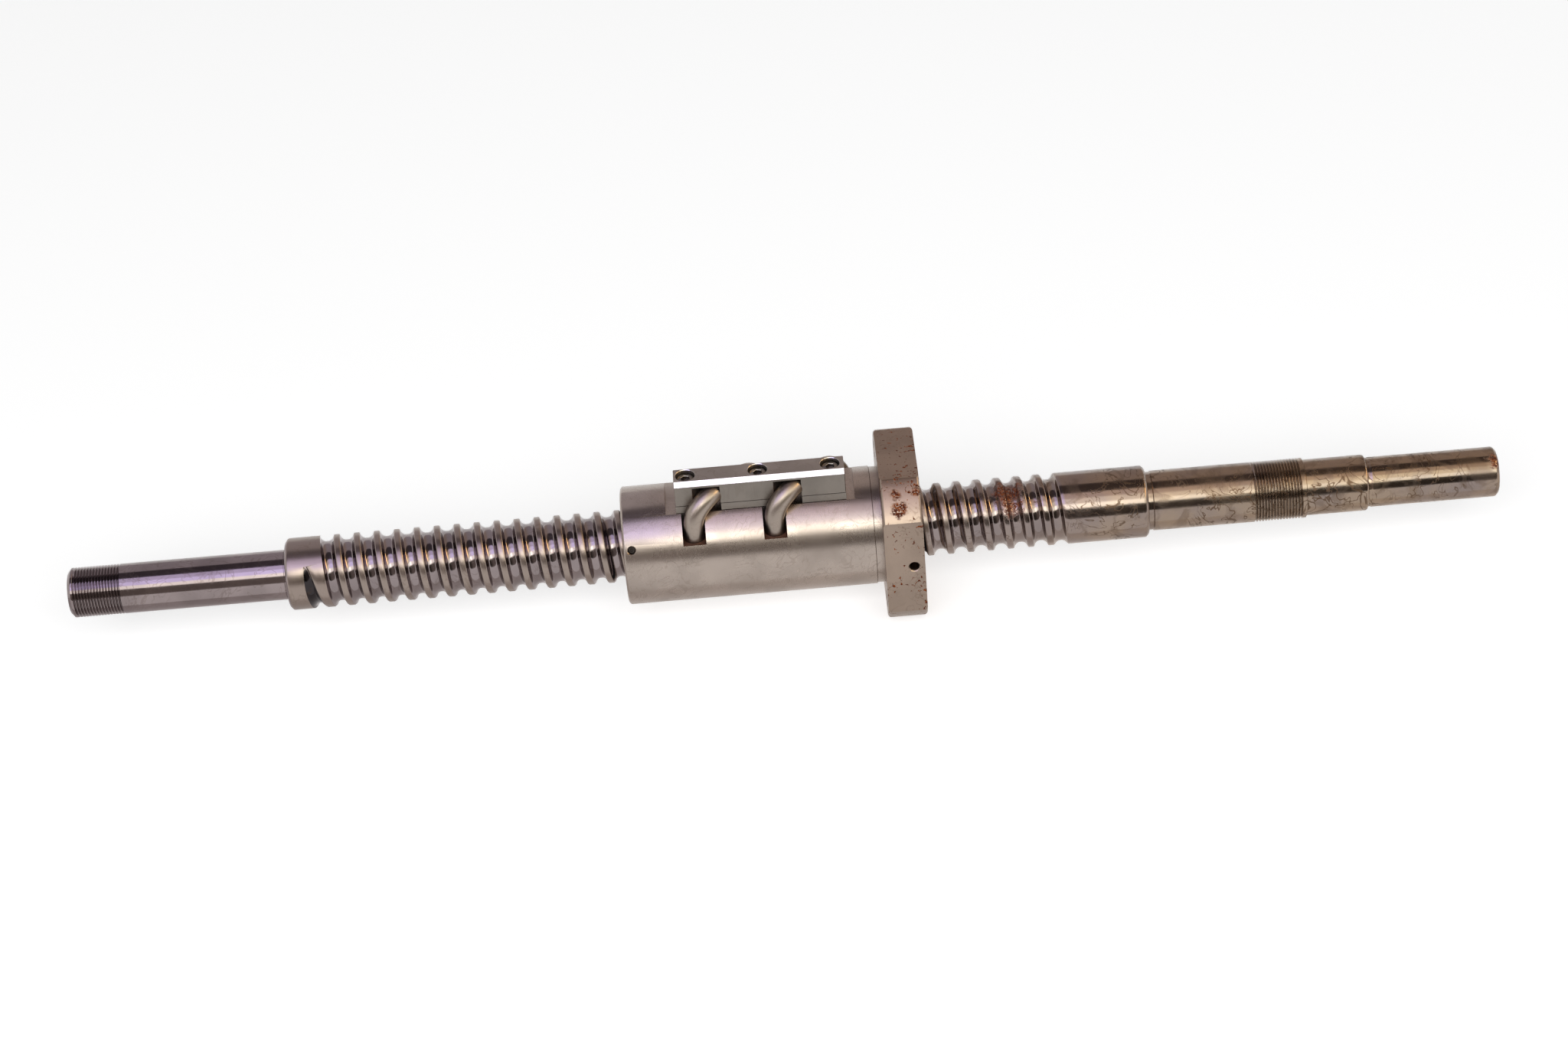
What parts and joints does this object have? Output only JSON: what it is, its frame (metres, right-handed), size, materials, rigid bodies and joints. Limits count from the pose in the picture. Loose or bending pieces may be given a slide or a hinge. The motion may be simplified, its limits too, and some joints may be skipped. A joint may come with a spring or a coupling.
{
  "type": "ball screw",
  "caption": "Ball screw with a flanged nut, external ball return tubes under a clamp bar, and stepped, threaded bearing journals on the screw.",
  "frame": {"origin": "centre of the screw's left end face", "axes": "+X along the screw towards its right drive journal, +Z out of the nut's clamp bar side, +Y away from the side of the return tubes' front legs"},
  "size_m": [0.7137, 0.0774, 0.0853],
  "materials": {
    "ground_steel": "ground and polished, with oil stains",
    "nut_steel": "ground satin, browner and pitted on the flange",
    "tube_steel": "satin drawn tube",
    "clamp_steel": "milled, with a bright bevel",
    "dark_steel": "black oxide",
    "ball_steel": "polished",
    "wiper_plastic": "matt"
  },
  "bodies": {
    "screw": {"screw_shaft": "ground_steel"},
    "wiper_carrier": {"wiper_right": "wiper_plastic"},
    "nut": {"ball_nut": "nut_steel", "clamp_bar": "clamp_steel", "return_tube_1": "tube_steel", "return_tube_2": "tube_steel", "wiper_left": "wiper_plastic", "wiper_retainer": "dark_steel", "wiper_set_screw": "dark_steel", "clamp_pad_1": "clamp_steel", "clamp_screw_1": "dark_steel", "clamp_pad_2": "clamp_steel", "clamp_screw_2": "dark_steel", "clamp_pad_3": "clamp_steel", "clamp_screw_3": "dark_steel", "ball_01": "ball_steel", "ball_02": "ball_steel", "ball_03": "ball_steel", "ball_04": "ball_steel", "ball_05": "ball_steel", "ball_06": "ball_steel", "ball_07": "ball_steel", "ball_08": "ball_steel", "ball_09": "ball_steel", "ball_10": "ball_steel", "ball_11": "ball_steel", "ball_12": "ball_steel", "ball_13": "ball_steel", "ball_14": "ball_steel", "ball_15": "ball_steel", "ball_16": "ball_steel", "ball_17": "ball_steel", "ball_18": "ball_steel", "ball_19": "ball_steel", "ball_20": "ball_steel", "ball_21": "ball_steel", "ball_22": "ball_steel", "ball_23": "ball_steel", "ball_24": "ball_steel"}
  },
  "joints": [
    {"name": "nut_travel", "type": "slide", "parent": "screw", "child": "wiper_carrier", "axis": [1, 0, 0], "range_m": [-0.156, 0.071]},
    {"name": "nut_turn", "type": "hinge", "parent": "wiper_carrier", "child": "nut", "pos_m": [0.3512, 0, 0], "axis": [1, 0, 0], "range_deg": [-5580, 2520]}
  ],
  "couplings": [
    {"joint": "nut_travel", "follows": "nut_turn", "m_per_rad": 0.0015915}
  ]
}
